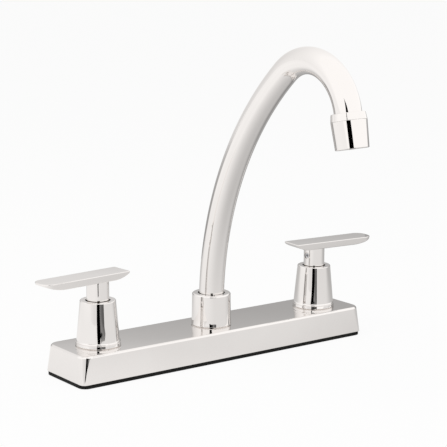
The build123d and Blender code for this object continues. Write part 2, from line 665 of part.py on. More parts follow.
def make_spline_insert(name, side):
    with BuildPart() as spline_insert:
        with BuildSketch(handle_level(side, INSERT_FOOT)):
            Circle(INSERT_DIAMETER / 2)
        extrude(amount=INSERT_HEIGHT)
        with BuildSketch(handle_level(side, INSERT_FOOT)):
            Polygon(*spline_points(SPLINE_DIAMETER / 2 + RUNNING_CLEARANCE), align=None)
        extrude(amount=INSERT_HEIGHT - INSERT_ROOF, mode=Mode.SUBTRACT)
        with BuildSketch(set_screw_plane(side, 0)):
            Circle(SET_SCREW_DIAMETER / 2 + THREAD_CLEARANCE)
        extrude(amount=INSERT_DIAMETER, mode=Mode.SUBTRACT)
    save(f"{name}_spline_insert", spline_insert.part)


def make_set_screw(name, side):
    tip = SPLINE_DIAMETER / 2 + RUNNING_CLEARANCE
    with BuildPart() as set_screw:
        with BuildSketch(set_screw_plane(side, tip)):
            Circle(SET_SCREW_DIAMETER / 2)
        extrude(amount=SET_SCREW_LENGTH)
        with BuildSketch(set_screw_plane(side, tip + SET_SCREW_LENGTH)):
            RegularPolygon(SET_SCREW_SOCKET / 2, 6, major_radius=False)
        extrude(amount=-SET_SCREW_LENGTH / 2, mode=Mode.SUBTRACT)
    save(f"{name}_set_screw", set_screw.part)


for name, side in SIDES.items():
    make_valve_body(name, side)
    make_lock_washer(name, side)
    make_locknut(name, side)
    make_cross_tube(name, side)
    make_seat_seal(name, side)
    make_cartridge_housing(name, side)
    make_fixed_disc(name, side)
    make_moving_disc(name, side)
    make_stem(name, side)
    make_stem_seal(name, side)
    make_circlip(name, side)
    make_bell(name, side)
    make_handle(name, side)
    make_spline_insert(name, side)
    make_set_screw(name, side)

# ---- Spout post between the two cross tubes ------------------------------------------------------
with BuildPart() as spout_post:
    with BuildSketch(Plane.XY.offset(GASKET_THICKNESS)):
        Circle(FOOT_DIAMETER / 2)
    extrude(amount=FOOT_THICKNESS)
    with BuildSketch(Plane.XY.offset(GASKET_THICKNESS)):
        Circle(POST_DIAMETER / 2)
    extrude(amount=POST_TOP - GASKET_THICKNESS)
    with BuildSketch(Plane.YZ):
        with Locations((0, PORT_HEIGHT)):
            Circle(PORT_BOSS_DIAMETER / 2)
    extrude(amount=POST_DIAMETER / 2 + PORT_BOSS_LENGTH, both=True)
    with BuildSketch(Plane.XY.offset(POST_FLOOR)):
        Circle(POST_BORE / 2)
    extrude(amount=POST_TOP - POST_FLOOR, mode=Mode.SUBTRACT)
    with BuildSketch(Plane.YZ):
        with Locations((0, PORT_HEIGHT)):
            Circle(PORT_BORE / 2)
    extrude(amount=POST_DIAMETER / 2 + PORT_BOSS_LENGTH, both=True, mode=Mode.SUBTRACT)
    for side in SIDES.values():
        mouth = side * (POST_DIAMETER / 2 + PORT_BOSS_LENGTH)
        with BuildSketch(Plane(origin=(mouth, 0, PORT_HEIGHT), x_dir=(0, 1, 0), z_dir=(-side, 0, 0))):
            Circle(SOCKET_DIAMETER / 2)
        extrude(amount=PORT_SOCKET_DEPTH, mode=Mode.SUBTRACT)
save("spout_post", spout_post.part)

# ---- Spout collar: the nut that holds the spout down on its post ----------------------------------
with BuildPart() as spout_collar:
    bore = POST_DIAMETER / 2 + THREAD_CLEARANCE
    foot = COLLAR_FOOT_DIAMETER / 2
    mouth = TUBE_DIAMETER / 2 + COLLAR_MOUTH_CLEARANCE
    with BuildSketch(Plane.XZ):
        with BuildLine():
            Polyline(
                (bore, PLATE_TOP),
                (foot - COLLAR_FOOT_CHAMFER, PLATE_TOP),
                (foot, PLATE_TOP + COLLAR_FOOT_CHAMFER),
                (foot, PLATE_TOP + COLLAR_FOOT_HEIGHT),
                (COLLAR_WAIST_DIAMETER / 2, PLATE_TOP + COLLAR_WAIST_HEIGHT),
                (COLLAR_TOP_DIAMETER / 2, COLLAR_TOP),
                (mouth, COLLAR_TOP),
                (mouth, UPPER_BEARING_TOP),
                (bore, UPPER_BEARING_TOP),
                close=True,
            )
        make_face()
    revolve(axis=Axis.Z)
    rim = spout_collar.faces().sort_by(Axis.Z)[-1].edges().sort_by(SortBy.RADIUS)[-1]
    fillet(rim, COLLAR_RIM_RADIUS)
save("spout_collar", spout_collar.part)


# ---- Bearing washers above and below the sleeve's flange -------------------------------------------
def make_bearing_washer(label, bottom):
    with BuildPart() as bearing_washer:
        with BuildSketch(Plane.XY.offset(bottom)):
            Circle(SLEEVE_FLANGE_DIAMETER / 2)
            Circle(SLEEVE_DIAMETER / 2 + LOOSE_CLEARANCE / 2, mode=Mode.SUBTRACT)
        extrude(amount=BEARING_THICKNESS)
    save(label, bearing_washer.part)


make_bearing_washer("lower_bearing_washer", POST_TOP)
make_bearing_washer("upper_bearing_washer", UPPER_BEARING_TOP - BEARING_THICKNESS)

# ---- Swivel sleeve brazed to the foot of the tube, and its seals ------------------------------------
SLEEVE_GROOVE = SLEEVE_DIAMETER / 2 - RING_GROOVE_DEPTH
with BuildPart() as spout_sleeve:
    with BuildSketch(Plane.XY.offset(SLEEVE_FOOT)):
        Circle(SLEEVE_DIAMETER / 2)
    extrude(amount=FLANGE_TOP - SLEEVE_FOOT)
    with BuildSketch(Plane.XY.offset(FLANGE_BOTTOM)):
        Circle(SLEEVE_FLANGE_DIAMETER / 2)
    extrude(amount=SLEEVE_FLANGE_THICKNESS)
    for height in SPOUT_RING_HEIGHTS:
        with BuildSketch(Plane.XY.offset(height)):
            Circle(SLEEVE_DIAMETER)
            Circle(SLEEVE_GROOVE, mode=Mode.SUBTRACT)
        extrude(amount=RING_GROOVE_WIDTH / 2, both=True, mode=Mode.SUBTRACT)
    with BuildSketch(Plane.XY.offset(SLEEVE_FOOT)):
        Circle(TUBE_BORE / 2)
    extrude(amount=SLEEVE_LIP, mode=Mode.SUBTRACT)
    with BuildSketch(Plane.XY.offset(TUBE_FOOT)):
        Circle(SLEEVE_BORE / 2)
    extrude(amount=FLANGE_TOP - TUBE_FOOT, mode=Mode.SUBTRACT)
save("spout_sleeve", spout_sleeve.part)

with BuildPart() as spout_seals:
    for height in SPOUT_RING_HEIGHTS:
        with BuildSketch(Plane.XY.offset(height)):
            Circle(POST_BORE / 2 - RUNNING_CLEARANCE / 2)
            Circle(SLEEVE_GROOVE + RUNNING_CLEARANCE, mode=Mode.SUBTRACT)
        extrude(amount=RING_GROOVE_WIDTH / 2 - SEAT_CLEARANCE, both=True)
save("spout_seals", spout_seals.part)

# ---- Gooseneck tube ----------------------------------------------------------------------------------
with BuildPart() as spout_tube:
    with BuildLine(Plane.YZ) as spout_path:
        riser = Line((0, TUBE_FOOT), (0, BEND_START))
        lean = JernArc(riser @ 1, riser % 1, RISER_BEND_RADIUS, RISER_BEND_ANGLE)
        crook = JernArc(lean @ 1, lean % 1, CROOK_BEND_RADIUS, CROOK_BEND_ANGLE)
        PolarLine(crook @ 1, TUBE_END_RUN, direction=crook % 1)
    with BuildSketch(Plane.XY.offset(TUBE_FOOT)):
        Circle(TUBE_DIAMETER / 2)
        Circle(TUBE_BORE / 2, mode=Mode.SUBTRACT)
    sweep(path=spout_path.wires()[0])
save("spout_tube", spout_tube.part)

# ---- Outlet ring brazed to the tube's end --------------------------------------------------------------
SPIGOT_END = OUTLET_RING_LENGTH + OUTLET_SPIGOT_LENGTH
with BuildPart() as outlet_ring:
    with BuildSketch(OUTLET_SECTION):
        with BuildLine():
            Polyline(
                (SLEEVE_BORE / 2, 0),
                (OUTLET_RING_TOP_DIAMETER / 2 - OUTLET_RING_CHAMFER, 0),
                (OUTLET_RING_TOP_DIAMETER / 2, OUTLET_RING_CHAMFER),
                (OUTLET_RING_DIAMETER / 2, OUTLET_RING_LENGTH),
                (OUTLET_SPIGOT_DIAMETER / 2, OUTLET_RING_LENGTH),
                (OUTLET_SPIGOT_DIAMETER / 2, SPIGOT_END),
                (TUBE_BORE / 2, SPIGOT_END),
                (TUBE_BORE / 2, TUBE_END_RUN),
                (SLEEVE_BORE / 2, TUBE_END_RUN),
                close=True,
            )
        make_face()
    revolve(axis=OUTLET_AXIS)
save("outlet_ring", outlet_ring.part)

# ---- Aerator: housing, washer, core and screen ------------------------------------------------------------
AERATOR_TOP = OUTLET_RING_LENGTH + SEAT_CLEARANCE
AERATOR_END = OUTLET_RING_LENGTH + AERATOR_LENGTH
LIP_TOP = AERATOR_END - AERATOR_LIP
CORE_TOP = SPIGOT_END + AERATOR_WASHER_THICKNESS + 2 * SEAT_CLEARANCE
SCREEN_TOP = LIP_TOP - SCREEN_THICKNESS
CORE_BOTTOM = SCREEN_TOP - SEAT_CLEARANCE
CORE_RADIUS = AERATOR_CORE_DIAMETER / 2
with BuildPart() as aerator_housing:
    thread = OUTLET_SPIGOT_DIAMETER / 2 + THREAD_CLEARANCE
    with BuildSketch(OUTLET_SECTION):
        with BuildLine():
            Polyline(
                (thread, AERATOR_TOP),
                (OUTLET_RING_DIAMETER / 2, AERATOR_TOP),
                (AERATOR_END_DIAMETER / 2, AERATOR_END - AERATOR_CHAMFER),
                (AERATOR_END_DIAMETER / 2 - AERATOR_CHAMFER, AERATOR_END),
                (AERATOR_MOUTH_DIAMETER / 2, AERATOR_END),
                (AERATOR_MOUTH_DIAMETER / 2, LIP_TOP),
                (CORE_RADIUS + RUNNING_CLEARANCE, LIP_TOP),
                (CORE_RADIUS + RUNNING_CLEARANCE, SPIGOT_END),
                (thread, SPIGOT_END),
                close=True,
            )
        make_face()
    revolve(axis=OUTLET_AXIS)
save("aerator_housing", aerator_housing.part)

with BuildPart() as aerator_washer:
    with BuildSketch(OUTLET_FACE.offset(SPIGOT_END + SEAT_CLEARANCE)):
        Circle(CORE_RADIUS)
        Circle(TUBE_BORE / 2, mode=Mode.SUBTRACT)
    extrude(amount=AERATOR_WASHER_THICKNESS)
save("aerator_washer", aerator_washer.part)

with BuildPart() as aerator_core:
    with BuildSketch(OUTLET_FACE.offset(CORE_TOP)):
        Circle(CORE_RADIUS)
    extrude(amount=CORE_BOTTOM - CORE_TOP)
    with BuildSketch(OUTLET_FACE.offset(CORE_TOP)):
        with PolarLocations(CORE_RADIUS * 0.6, CORE_HOLE_COUNT):
            Circle(CORE_HOLE_DIAMETER / 2)
    extrude(amount=CORE_BOTTOM - CORE_TOP, mode=Mode.SUBTRACT)
save("aerator_core", aerator_core.part)

with BuildPart() as aerator_screen:
    with BuildSketch(OUTLET_FACE.offset(SCREEN_TOP)):
        Circle(CORE_RADIUS)
        with HexLocations(SCREEN_HOLE_PITCH / 2, 5, 5):
            Circle(SCREEN_HOLE_DIAMETER / 2, mode=Mode.SUBTRACT)
    extrude(amount=SCREEN_THICKNESS)
save("aerator_screen", aerator_screen.part)
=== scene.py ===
"""Looks of the two-handle kitchen tap: bright chrome on a dark gasket, in a white light tent.

Lengths in the mesh code are millimetres and become metres in add_mesh. The stage is in metres.
The frame is the CAD's: +Z up, +X towards the cold valve, -Y towards the person at the sink.
"""

import json
from math import asin, atan2, ceil, cos, degrees, pi, radians, sin, sqrt, tan

import bmesh
import bpy
from mathutils import Matrix, Vector


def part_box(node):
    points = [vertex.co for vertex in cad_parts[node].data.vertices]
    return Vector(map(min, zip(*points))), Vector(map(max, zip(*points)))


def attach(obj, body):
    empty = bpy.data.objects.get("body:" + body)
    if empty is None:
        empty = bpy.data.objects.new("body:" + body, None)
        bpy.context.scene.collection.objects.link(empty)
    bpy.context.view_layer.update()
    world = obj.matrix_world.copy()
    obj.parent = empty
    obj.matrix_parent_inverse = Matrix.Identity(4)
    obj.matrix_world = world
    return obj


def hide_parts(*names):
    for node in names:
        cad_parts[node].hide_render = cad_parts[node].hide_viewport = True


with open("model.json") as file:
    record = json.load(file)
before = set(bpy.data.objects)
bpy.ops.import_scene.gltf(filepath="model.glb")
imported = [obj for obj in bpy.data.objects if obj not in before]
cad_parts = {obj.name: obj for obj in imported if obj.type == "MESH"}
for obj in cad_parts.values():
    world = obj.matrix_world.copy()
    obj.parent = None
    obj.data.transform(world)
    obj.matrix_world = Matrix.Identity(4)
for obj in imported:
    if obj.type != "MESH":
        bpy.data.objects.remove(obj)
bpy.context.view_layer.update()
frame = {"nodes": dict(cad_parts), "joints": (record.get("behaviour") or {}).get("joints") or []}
MM = 0.001


# ---- Sizes that the pieces share, in millimetres ------------------------------------------------
VALVE_X = {
    joint["name"].split("_")[0]: joint["pos_m"][0] / MM
    for joint in frame["joints"]
    if "handle" in joint["name"]
}
SIDES = {"hot": -1, "cold": 1}
PLATE_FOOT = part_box("deck_plate")[0].z / MM
PLATE_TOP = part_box("deck_plate")[1].z / MM
PLATE_HALF_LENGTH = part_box("deck_plate")[1].x / MM
PLATE_HALF_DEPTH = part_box("deck_plate")[1].y / MM
BARREL_RADIUS = 13.6
BARREL_TOP = PLATE_TOP + 10
POST_RADIUS = 13.0
TUBE_RADIUS = 9.48
TUBE_BORE_RADIUS = 8.525
COLLAR_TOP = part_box("spout_collar")[1].z / MM
SLIP = 0.05  # between a bore and what it goes over


# ---- Mesh tools: a part is its points in millimetres and its faces ------------------------------
ARC_STEP = 10  # most degrees between two points of a rounding
LEAST_ARC_STEPS = 3
COVE_STEPS = 8
SHARP_ANGLE = 30
MERGE_DISTANCE = 1e-6  # metres
FLAT_WEIGHT = 100
DRILL_SEGMENTS = 48


def arc_points(centre, start, end, turn, count):
    """Points from start to end round a centre, both ends included."""
    u, v = start - centre, end - centre
    return [
        centre + (u * sin((1 - k / count) * turn) + v * sin(k / count * turn)) / sin(turn)
        for k in range(count + 1)
    ]


def profile(corners, count=None):
    """Outline from corners (x, y) or (x, y, radius): a corner with a radius becomes an arc."""
    points = []
    for i, corner in enumerate(corners):
        p = Vector(corner[:2])
        if len(corner) < 3:
            points.append(p)
            continue
        a = (Vector(corners[i - 1][:2]) - p).normalized()
        b = (Vector(corners[(i + 1) % len(corners)][:2]) - p).normalized()
        half = a.angle(b) / 2
        turn = pi - 2 * half
        reach = corner[2] / tan(half)
        centre = p + (a + b).normalized() * corner[2] / sin(half)
        steps = count or max(LEAST_ARC_STEPS, ceil(degrees(turn) / ARC_STEP))
        points += arc_points(centre, p + a * reach, p + b * reach, turn, steps)
    return points


def hollow(start, end, radius):
    """Points of an arc between two points of a profile, curved in towards the piece."""
    p, q = Vector(start), Vector(end)
    chord = q - p
    half = asin(chord.length / 2 / radius)
    normal = Vector((chord.y, -chord.x)).normalized()
    centre = (p + q) / 2 + normal * radius * cos(half)
    return arc_points(centre, p, q, 2 * half, COVE_STEPS)


def add_mesh(name, points, faces, place=Matrix()):
    """Object from a part, smooth but for its sharp edges."""
    mesh = bpy.data.meshes.new(name)
    mesh.from_pydata([(place @ Vector(p)) * MM for p in points], [], faces)
    work = bmesh.new()
    work.from_mesh(mesh)
    bmesh.ops.remove_doubles(work, verts=work.verts, dist=MERGE_DISTANCE)
    bmesh.ops.recalc_face_normals(work, faces=work.faces)
    for face in work.faces:
        face.smooth = True
    work.to_mesh(mesh)
    work.free()
    mesh.set_sharp_from_angle(angle=radians(SHARP_ANGLE))
    piece = bpy.data.objects.new(name, mesh)
    bpy.context.scene.collection.objects.link(piece)
    return piece


def ring_faces(rows, count, closed=False):
    """Quads between rows of points, each row a closed loop."""
    faces = []
    for r in range(rows if closed else rows - 1):
        low, high = r * count, (r + 1) % rows * count
        faces += [
            (low + i, low + (i + 1) % count, high + (i + 1) % count, high + i)
            for i in range(count)
        ]
    return faces


def lathe(outline, count):
    """Part from a closed outline (radius, height) turned round the z axis."""
    points = [
        (p[0] * cos(2 * pi * i / count), p[0] * sin(2 * pi * i / count), p[1])
        for p in outline
        for i in range(count)
    ]
    return points, ring_faces(len(outline), count, closed=True)


def join(*parts):
    """One part from several."""
    points, faces = [], []
    for part_points, part_faces in parts:
        faces += [tuple(i + len(points) for i in f) for f in part_faces]
        points += part_points
    return points, faces


def moved(part, place):
    return [tuple(place @ Vector(p)) for p in part[0]], part[1]


def carved(part, cutter):
    """A closed part with another cut out of it."""
    piece, tool = add_mesh("blank", *part), add_mesh("cutter", *cutter)
    cut = piece.modifiers.new("cut", "BOOLEAN")
    cut.operation, cut.solver, cut.object = "DIFFERENCE", "EXACT", tool
    bpy.context.view_layer.update()
    evaluated = piece.evaluated_get(bpy.context.evaluated_depsgraph_get())
    shape = bpy.data.meshes.new_from_object(evaluated)
    result = [tuple(v.co / MM) for v in shape.vertices], [tuple(f.vertices) for f in shape.polygons]
    for used in (piece.data, tool.data, shape):
        bpy.data.meshes.remove(used)
    return result


def finish_piece(piece, body, slot, nodes):
    """Material, even shading on the flats, and the link to the frame."""
    piece.data.materials.clear()
    piece.data.materials.append(MATERIALS[slot])
    even = piece.modifiers.new("even_shading", "WEIGHTED_NORMAL")
    even.keep_sharp = True
    even.weight = FLAT_WEIGHT
    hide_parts(*nodes)
    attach(piece, body)
    return piece


# ---- Material tools -----------------------------------------------------------------------------
def noise(tree, scale, detail, rough=0.5, stretch=None):
    """Noise in the object's own coordinates, scale per metre."""
    place = tree.nodes.new("ShaderNodeTexCoord").outputs["Object"]
    if stretch:
        mapping = tree.nodes.new("ShaderNodeMapping")
        mapping.inputs["Scale"].default_value = stretch
        tree.links.new(place, mapping.inputs["Vector"])
        place = mapping.outputs["Vector"]
    texture = tree.nodes.new("ShaderNodeTexNoise")
    texture.inputs["Scale"].default_value = scale
    texture.inputs["Detail"].default_value = detail
    texture.inputs["Roughness"].default_value = rough
    tree.links.new(place, texture.inputs["Vector"])
    return texture.outputs["Fac"]


def ramp(tree, value, stops):
    """Colours at places of a value."""
    node = tree.nodes.new("ShaderNodeValToRGB")
    elements = node.color_ramp.elements
    while len(elements) < len(stops):
        elements.new(1.0)
    for element, (place, colour) in zip(elements, stops):
        element.position = place
        element.color = (*colour, 1)
    tree.links.new(value, node.inputs["Fac"])
    return node.outputs["Color"]


def span(tree, value, low, high, start=0.3, end=0.7):
    """A value's start to end spread over low to high."""
    node = tree.nodes.new("ShaderNodeMapRange")
    node.inputs["From Min"].default_value = start
    node.inputs["From Max"].default_value = end
    node.inputs["To Min"].default_value = low
    node.inputs["To Max"].default_value = high
    tree.links.new(value, node.inputs["Value"])
    return node.outputs["Result"]


def bump(tree, shader, height, distance):
    node = tree.nodes.new("ShaderNodeBump")
    node.inputs["Strength"].default_value = 1.0
    node.inputs["Distance"].default_value = distance
    tree.links.new(height, node.inputs["Height"])
    tree.links.new(node.outputs["Normal"], shader.inputs["Normal"])


GRAIN_FINENESS = 12  # grains to a patch


def make_material(slot, dark, light, rough, scale, relief, stretch=None, **sockets):
    """Colour, roughness and fine relief (in metres) that vary over the surface."""
    material = bpy.data.materials.new(slot + "_look")
    material.use_nodes = True
    tree = material.node_tree
    shader = tree.nodes["Principled BSDF"]
    for socket, value in sockets.items():
        shader.inputs[socket.replace("_", " ")].default_value = value
    patches = noise(tree, scale, detail=3.0)
    grain = noise(tree, scale * GRAIN_FINENESS, detail=4.0, rough=0.6, stretch=stretch)
    tree.links.new(ramp(tree, patches, [(0.35, dark), (0.65, light)]), shader.inputs["Base Color"])
    tree.links.new(span(tree, grain, *rough), shader.inputs["Roughness"])
    bump(tree, shader, grain, relief)
    return material


# ---- Materials: dark and light colour, roughness range, patches per metre, relief ---------------
LOOKS = {
    "chrome_plate": {
        "dark": (0.82, 0.80, 0.785),
        "light": (0.84, 0.82, 0.805),
        "rough": (0.015, 0.04),
        "scale": 25,
        "relief": 2e-7,
        "Metallic": 1.0,
    },
    "brass": {
        "dark": (0.66, 0.46, 0.20),
        "light": (0.74, 0.56, 0.27),
        "rough": (0.22, 0.38),
        "scale": 60,
        "relief": 4e-5,
        "stretch": (0.4, 0.4, 6),
        "Metallic": 1.0,
    },
    "copper_tube": {
        "dark": (0.62, 0.32, 0.19),
        "light": (0.78, 0.45, 0.30),
        "rough": (0.25, 0.45),
        "scale": 45,
        "relief": 3e-5,
        "stretch": (0.2, 3, 3),
        "Metallic": 1.0,
    },
    "seal_rubber": {
        "dark": (0.012, 0.012, 0.012),
        "light": (0.03, 0.03, 0.03),
        "rough": (0.3, 0.5),
        "scale": 80,
        "relief": 2e-5,
        "Specular_IOR_Level": 0.5,
    },
    "ceramic_disc": {
        "dark": (0.80, 0.78, 0.73),
        "light": (0.88, 0.86, 0.82),
        "rough": (0.08, 0.2),
        "scale": 60,
        "relief": 1e-5,
        "Specular_IOR_Level": 0.6,
    },
    "white_acetal": {
        "dark": (0.78, 0.78, 0.75),
        "light": (0.86, 0.86, 0.84),
        "rough": (0.35, 0.5),
        "scale": 60,
        "relief": 3e-5,
    },
    "steel": {
        "dark": (0.50, 0.50, 0.51),
        "light": (0.64, 0.64, 0.65),
        "rough": (0.2, 0.35),
        "scale": 60,
        "relief": 3e-5,
        "Metallic": 1.0,
    },
    "gasket_rubber": {
        "dark": (0.003, 0.003, 0.003),
        "light": (0.009, 0.009, 0.0085),
        "rough": (0.5, 0.7),
        "scale": 60,
        "relief": 1.2e-4,
        "Specular_IOR_Level": 0.15,
    },
}
MATERIALS = {slot: make_material(slot, **look) for slot, look in LOOKS.items()}

for node in frame["nodes"].values():
    for place in node.material_slots:
        place.material = MATERIALS[place.material.name.split(".")[0]]


# ---- Deck plate ---------------------------------------------------------------------------------
PLATE_DRAFT = tan(radians(2.1))
PLATE_WALL, PLATE_EDGE = 1.8, 1.7
PLATE_CORNER, CORNER_GROWTH, LEAST_CORNER = 4.2, 4.8, 0.4
CORNER_STEPS = 14
HOLE_GAP, HOLE_SEGMENTS = 0.3, 96
RIB_PLACES, RIB_HALF, RIB_INSET, RIB_DEPTH, RIB_SUNK = (28, 56), 0.8, 2.9, 2.4, 0.4


def rounded_rectangle(half_x, half_y, radius, z):
    """Loop of points, counter-clockwise from the right side."""
    points = []
    for quarter, (sx, sy) in enumerate(((1, 1), (-1, 1), (-1, -1), (1, -1))):
        for k in range(CORNER_STEPS + 1):
            a = radians(90 * (quarter + k / CORNER_STEPS))
            x = sx * (half_x - radius) + radius * cos(a)
            y = sy * (half_y - radius) + radius * sin(a)
            points.append((x, y, z))
    return points


def circle(radius, z, x):
    turns = [2 * pi * i / HOLE_SEGMENTS for i in range(HOLE_SEGMENTS)]
    return [(x + radius * cos(a), radius * sin(a), z) for a in turns]


def filled(loops, z):
    """Flat face at a height, from an outer loop and the holes in it."""
    work = bmesh.new()
    edges = []
    for loop in loops:
        verts = [work.verts.new((p[0], p[1], z)) for p in loop]
        edges += [work.edges.new((verts[i - 1], verts[i])) for i in range(len(verts))]
    bmesh.ops.triangle_fill(work, use_beauty=True, use_dissolve=False, edges=edges)
    work.verts.index_update()
    part = [tuple(v.co) for v in work.verts], [tuple(v.index for v in f.verts) for f in work.faces]
    work.free()
    return part


def block(low, high):
    """Box between two corners."""
    points = [
        (x, y, z) for x in (low[0], high[0]) for y in (low[1], high[1]) for z in (low[2], high[2])
    ]
    faces = [(0, 1, 3, 2), (4, 6, 7, 5), (0, 4, 5, 1), (2, 3, 7, 6), (0, 2, 6, 4), (1, 5, 7, 3)]
    return points, faces


def make_deck_plate():
    height = PLATE_TOP - PLATE_FOOT
    ceiling = PLATE_TOP - PLATE_WALL
    # Section through the wall as (inset, height), outside then inside
    outside = profile(
        [
            (0.25, 0),
            (0, 0, 0.18),
            (height * PLATE_DRAFT, height, PLATE_EDGE),
            (PLATE_EDGE * 3, height),
        ]
    )[:-1]
    inside = [
        (PLATE_WALL + 0.2, 0),
        (PLATE_WALL, 0.2),
        (PLATE_WALL + (height - PLATE_WALL) * PLATE_DRAFT, height - PLATE_WALL),
    ]
    loops = []
    for inset, up in outside + inside:
        # The corners lean in more than the sides, so their radius grows upwards
        corner = PLATE_CORNER + CORNER_GROWTH * up / height - (inset - up * PLATE_DRAFT)
        half_x, half_y = PLATE_HALF_LENGTH - inset, PLATE_HALF_DEPTH - inset
        loops.append(rounded_rectangle(half_x, half_y, max(corner, LEAST_CORNER), PLATE_FOOT + up))
    count = len(loops[0])
    n = len(outside)
    outer = [p for loop in loops[:n] for p in loop], ring_faces(n, count)
    inner = [p for loop in loops[n:] for p in loop], ring_faces(len(inside), count)
    foot = loops[0] + loops[n], ring_faces(2, count)
    holes = [
        (VALVE_X["hot"], BARREL_RADIUS + HOLE_GAP),
        (0.0, POST_RADIUS + HOLE_GAP),
        (VALVE_X["cold"], BARREL_RADIUS + HOLE_GAP),
    ]
    top = filled([loops[n - 1]] + [circle(r, 0, x) for x, r in holes], PLATE_TOP)
    under = filled([loops[-1]] + [circle(r, 0, x) for x, r in holes], ceiling)
    walls = [
        (circle(r, PLATE_TOP, x) + circle(r, ceiling, x), ring_faces(2, HOLE_SEGMENTS))
        for x, r in holes
    ]
    reach = PLATE_HALF_DEPTH - RIB_INSET
    ribs = [
        block(
            (s * x - RIB_HALF, -reach, ceiling - RIB_DEPTH),
            (s * x + RIB_HALF, reach, ceiling + RIB_SUNK),
        )
        for s in (-1, 1)
        for x in RIB_PLACES
    ]
    piece = add_mesh("deck_plate_shell", *join(outer, inner, foot, top, under, *walls, *ribs))
    return finish_piece(piece, "faucet_body", "chrome_plate", ["deck_plate"])


make_deck_plate()


# ---- Bells, collar: outlines as (radius, height, rounding) --------------------------------------
COVER_SEGMENTS = 192
RING_RADIUS, RING_HEIGHT, RING_EDGE, RING_SLOPE = 16.6, 2.4, 0.7, tan(radians(8))
COVE_TOP_RADIUS, COVE_HEIGHT, COVE_RADIUS = 15.68, 4.1, 1.3
BELL_TOP_RADIUS, BELL_LIP, BELL_INNER_RADIUS = 12.95, 1.5, 11.45
MOUTH_RADIUS = 9.025
COLLAR_FOOT_RADIUS, COLLAR_EDGE, COLLAR_EDGE_TOP = 15.3, 0.8, 0.85
COLLAR_WAIST_RADIUS, COLLAR_WAIST, WAIST_ROUNDING = 14.88, 4.4, 40
COLLAR_TOP_RADIUS, COLLAR_WEB = 14.6, 4.7
COLLAR_MOUTH_RADIUS = TUBE_RADIUS + 0.75


def make_bell(name):
    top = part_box(f"{name}_bell")[1].z / MM
    bore, ring_top = BARREL_RADIUS + SLIP, PLATE_TOP + RING_HEIGHT
    shoulder = RING_RADIUS - (RING_HEIGHT - RING_EDGE) * RING_SLOPE
    cove = hollow(
        (COVE_TOP_RADIUS, PLATE_TOP + COVE_HEIGHT), (shoulder - 0.18, ring_top), COVE_RADIUS
    )
    outline = profile(
        [
            (bore, PLATE_TOP),
            (RING_RADIUS - RING_EDGE, PLATE_TOP, 0.15),
            (RING_RADIUS, PLATE_TOP + RING_EDGE, 0.3),
            (shoulder, ring_top - 0.02, 0.12),
            *cove[::-1],
            (BELL_TOP_RADIUS, top, 0.7),
            (MOUTH_RADIUS, top, 0.35),
            (MOUTH_RADIUS, top - BELL_LIP),
            (BELL_INNER_RADIUS, top - BELL_LIP),
            (bore, BARREL_TOP),
        ]
    )
    on_axis = Matrix.Translation((VALVE_X[name], 0, 0))
    piece = add_mesh(f"{name}_bell_shell", *lathe(outline, COVER_SEGMENTS), on_axis)
    return finish_piece(piece, "faucet_body", "chrome_plate", [f"{name}_bell"])


def make_collar():
    bore, web = POST_RADIUS + SLIP, COLLAR_TOP - COLLAR_WEB
    outline = profile(
        [
            (bore, PLATE_TOP),
            (COLLAR_FOOT_RADIUS - COLLAR_EDGE, PLATE_TOP, 0.15),
            (COLLAR_FOOT_RADIUS, PLATE_TOP + COLLAR_EDGE_TOP, 0.3),
            (COLLAR_WAIST_RADIUS, PLATE_TOP + COLLAR_WAIST, WAIST_ROUNDING),
            (COLLAR_TOP_RADIUS, COLLAR_TOP, 1.2),
            (COLLAR_MOUTH_RADIUS, COLLAR_TOP, 0.15),
            (COLLAR_MOUTH_RADIUS, web),
            (bore, web),
        ]
    )
    piece = add_mesh("spout_collar_shell", *lathe(outline, COVER_SEGMENTS))
    return finish_piece(piece, "faucet_body", "chrome_plate", ["spout_collar"])


for name in SIDES:
    make_bell(name)
make_collar()


# ---- Valve bodies, with the threads that the CAD leaves out -------------------------------------
CORE_SEGMENTS = 96
SHANK_LENGTH, SHANK_RADIUS, SHANK_BORE_RADIUS = 52.0, 10.47, 6.5
ROOT_RADIUS, PITCH, THREAD_TOP = 9.316, 1.814, -2.5
THREADED = ((-SHANK_LENGTH + 1, -27.0), (-23.5, -3.4))
TURN_STEPS, RUN_OUT_STEPS, LEAST_RISE, RIDGE_SUNK = 40, 20, 0.05, 0.06
RIDGE = ((0, -0.87), (0.93, -0.2), (1, 0), (0.93, 0.2), (0, 0.87))  # (share of its rise, height)
FOOT_RADIUS, FOOT_TOP = 15.5, PLATE_FOOT + 3.6
CARTRIDGE_RADIUS, CARTRIDGE_FLOOR, CHAMBER_RADIUS = 10.478, BARREL_TOP - 13, 9.6
SEAT_RADIUS, SEAT_FOOT, SEAT_TOP = 5.5, 5, 8
PORT_HEIGHT, PORT_RADIUS, SOCKET_RADIUS, BOSS_RADIUS = 13, 4, 5.05, 7
PORT_START, PORT_END = 7, 15
BOSS_START, SOCKET_START, BOSS_END = 11.4, 15.1, 18.6


def thread_ridge(low, high):
    """Closed ridge of a pipe thread, which runs out over half a turn at both ends."""
    steps = round((high - low) / PITCH * TURN_STEPS)
    points = []
    for k in range(steps + 1):
        a = 2 * pi * (high - low) / PITCH * k / steps
        z = low + (high - low) * k / steps
        grown = max(LEAST_RISE, min(1, k / RUN_OUT_STEPS, (steps - k) / RUN_OUT_STEPS))
        rise = (SHANK_RADIUS - ROOT_RADIUS) * grown
        for share, up in RIDGE:
            radius = ROOT_RADIUS - RIDGE_SUNK + share * (rise + RIDGE_SUNK)
            points.append((radius * cos(a), radius * sin(a), z + up))
    count = len(RIDGE)
    last = len(points) - count
    ends = [tuple(range(count)), tuple(range(last, last + count))]
    return points, ring_faces(steps + 1, count) + ends


